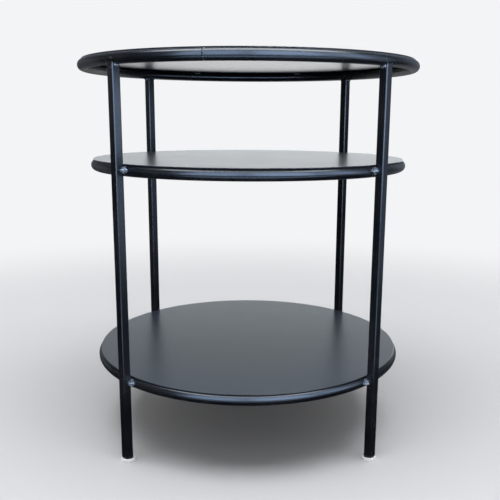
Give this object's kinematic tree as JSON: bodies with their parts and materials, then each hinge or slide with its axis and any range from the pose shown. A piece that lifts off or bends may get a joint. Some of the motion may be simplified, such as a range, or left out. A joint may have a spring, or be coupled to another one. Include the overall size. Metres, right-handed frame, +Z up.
{
  "type": "tiered side table",
  "caption": "Round side table of welded steel: sheet discs on bent tube rings, held one above the other by square tube legs on felt pads.",
  "frame": {"origin": "on the floor under the middle of the table", "axes": "+Z up; -Y is the front, midway between the two front legs; +X to the right seen from it"},
  "size_m": [0.5, 0.5, 0.556],
  "materials": {
    "powder_coated_steel": "satin black powder coat",
    "powder_coated_sheet": "satin black powder coat",
    "powder_coated_weld": "satin black powder coat over weld",
    "plug_plastic": "moulded",
    "felt": "pressed felt"
  },
  "bodies": {
    "root": {"top_ring": "powder_coated_steel", "top_ring_seam": "powder_coated_weld", "top_panel": "powder_coated_sheet", "top_panel_welds": "powder_coated_weld", "top_leg_welds": "powder_coated_weld", "mid_ring": "powder_coated_steel", "mid_ring_seam": "powder_coated_weld", "mid_panel": "powder_coated_sheet", "mid_panel_welds": "powder_coated_weld", "mid_leg_welds": "powder_coated_weld", "bottom_ring": "powder_coated_steel", "bottom_ring_seam": "powder_coated_weld", "bottom_panel": "powder_coated_sheet", "bottom_panel_welds": "powder_coated_weld", "bottom_leg_welds": "powder_coated_weld", "leg_rear_right": "powder_coated_steel", "leg_plug_rear_right": "plug_plastic", "foot_pad_rear_right": "felt", "leg_rear_left": "powder_coated_steel", "leg_plug_rear_left": "plug_plastic", "foot_pad_rear_left": "felt", "leg_front_left": "powder_coated_steel", "leg_plug_front_left": "plug_plastic", "foot_pad_front_left": "felt", "leg_front_right": "powder_coated_steel", "leg_plug_front_right": "plug_plastic", "foot_pad_front_right": "felt"}
  },
  "joints": []
}
